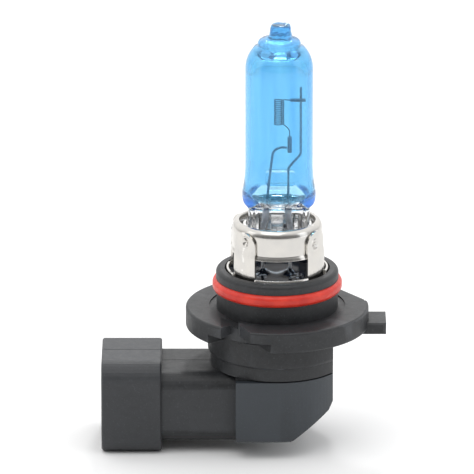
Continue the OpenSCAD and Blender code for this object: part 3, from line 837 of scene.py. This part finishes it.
def lead_feet():
    """The bright ends of the supports, sealed in the press down to the pins."""
    wires = []
    for top_x, (low_x, _) in zip(FEET_TOP_X, PINS):
        path = bent([(top_x, 0, 17.2), (top_x, 0, 15.6), (low_x, 0, 12.6), (low_x, 0, 10.0)], 0.8)
        wires.append(sweep(path, FOOT_R, 16))
    verts, faces = merged(*wires)
    piece("lead_feet", verts, faces, PAINTED_BRIGHT_NICKEL, (), 60)


lead_feet()

# ---- stage -----------------------------------------------------------------------

# Greys of the surround, from low on the camera's side to overhead and behind.
SURROUND = [(0.0, 0.13), (0.3, 0.2), (0.45, 0.5), (0.62, 0.9), (0.8, 1.0)]
SURROUND_STRENGTH = 1.22
SURROUND_LEAN = 0.55  # how much "behind" counts beside "overhead"
SURROUND_RANGE = (-0.55, 1.15)
FLOOR_REACH = 4000
LIGHT_DISTANCE = 420
CAMERA_ELEVATION, CAMERA_DISTANCE, CAMERA_VIEW = 18.2, 1100, 76.45
CAMERA_AIM = (-1.1, 0, -0.65)  # from the middle of the bulb's side view


def make_floor(z_mm):
    """A wide pale floor that the bulb stands on."""
    s = Shader("floor_white")
    s.to(s.mix(s.noise(40, 2), (0.93, 0.93, 0.93), (0.95, 0.95, 0.95)), "Base Color")
    s.set(Roughness=0.9)
    mesh = bpy.data.meshes.new("floor")
    corners = [(FLOOR_REACH * x, FLOOR_REACH * y) for x, y in ((-1, -1), (1, -1), (1, 1), (-1, 1))]
    mesh.from_pydata([mm(x, y, z_mm) for x, y in corners], [], [(0, 1, 2, 3)])
    mesh.materials.append(s.mat)
    floor = bpy.data.objects.new("floor", mesh)
    bpy.context.scene.collection.objects.link(floor)


def towards(azimuth, elevation):
    """The unit vector at these angles, in degrees; azimuth 0 is the camera's side."""
    az, el = math.radians(azimuth), math.radians(elevation)
    return Vector((math.sin(az) * math.cos(el), -math.cos(az) * math.cos(el), math.sin(el)))


def softbox(name, target, azimuth, elevation, width, height, watts, colour=(1, 1, 1)):
    """A rectangular light aimed at target."""
    light = bpy.data.lights.new(name, "AREA")
    light.shape = "RECTANGLE"
    light.size = mm(width)
    light.size_y = mm(height)
    light.energy = watts
    light.color = colour
    obj = bpy.data.objects.new(name, light)
    away = towards(azimuth, elevation)
    obj.location = target + away * mm(LIGHT_DISTANCE)
    obj.rotation_euler = (-away).to_track_quat("-Z", "Y").to_euler()
    bpy.context.scene.collection.objects.link(obj)


def make_world():
    """Studio surround: bright overhead and behind, dimmer on the camera's side."""
    world = bpy.data.worlds.new("studio")
    world.use_nodes = True
    tree = world.node_tree
    place = tree.nodes.new("ShaderNodeTexCoord")
    split = tree.nodes.new("ShaderNodeSeparateXYZ")
    tree.links.new(place.outputs["Generated"], split.inputs[0])
    lean = tree.nodes.new("ShaderNodeMath")
    lean.operation = "MULTIPLY_ADD"
    tree.links.new(split.outputs["Y"], lean.inputs[0])
    lean.inputs[1].default_value = SURROUND_LEAN
    tree.links.new(split.outputs["Z"], lean.inputs[2])
    spread = tree.nodes.new("ShaderNodeMapRange")
    spread.inputs["From Min"].default_value = SURROUND_RANGE[0]
    spread.inputs["From Max"].default_value = SURROUND_RANGE[1]
    tree.links.new(lean.outputs[0], spread.inputs["Value"])
    ramp = tree.nodes.new("ShaderNodeValToRGB")
    elements = ramp.color_ramp.elements
    while len(elements) < len(SURROUND):
        elements.new(0.5)
    for element, (pos, grey) in zip(elements, SURROUND):
        element.position = pos
        element.color = (grey, grey, grey, 1)
    tree.links.new(spread.outputs["Result"], ramp.inputs["Fac"])
    background = tree.nodes["Background"]
    tree.links.new(ramp.outputs["Color"], background.inputs["Color"])
    background.inputs["Strength"].default_value = SURROUND_STRENGTH
    bpy.context.scene.world = world


def make_camera(target):
    """A long lens whose picture is CAMERA_VIEW wide at the target."""
    camera = bpy.data.cameras.new("camera")
    camera.sensor_width = 36
    camera.lens = camera.sensor_width * CAMERA_DISTANCE / CAMERA_VIEW
    camera.clip_end = 20
    obj = bpy.data.objects.new("camera", camera)
    away = towards(0, CAMERA_ELEVATION)
    obj.location = target + away * mm(CAMERA_DISTANCE)
    obj.rotation_euler = (-away).to_track_quat("-Z", "Y").to_euler()
    bpy.context.scene.collection.objects.link(obj)
    bpy.context.scene.camera = obj


low, high = [Vector(corner) for corner in cad_box]
middle = (low + high) / 2
make_camera(Vector((middle.x, 0, middle.z)) + mm(*CAMERA_AIM))
make_floor(low.z / MM)
make_world()
# azimuth and elevation in degrees, width and height in millimetres, then watts
softbox("key_top", middle, -20, 62, 320, 320, 0.35)
softbox("fill_left", middle, -75, 20, 160, 320, 0.12)
softbox("rim_back", middle, 176, 46, 50, 50, 0.3)
softbox("fill_right", middle, 70, 15, 160, 320, 0.18, (0.93, 0.96, 1.0))
bpy.context.scene.view_settings.view_transform = "Standard"
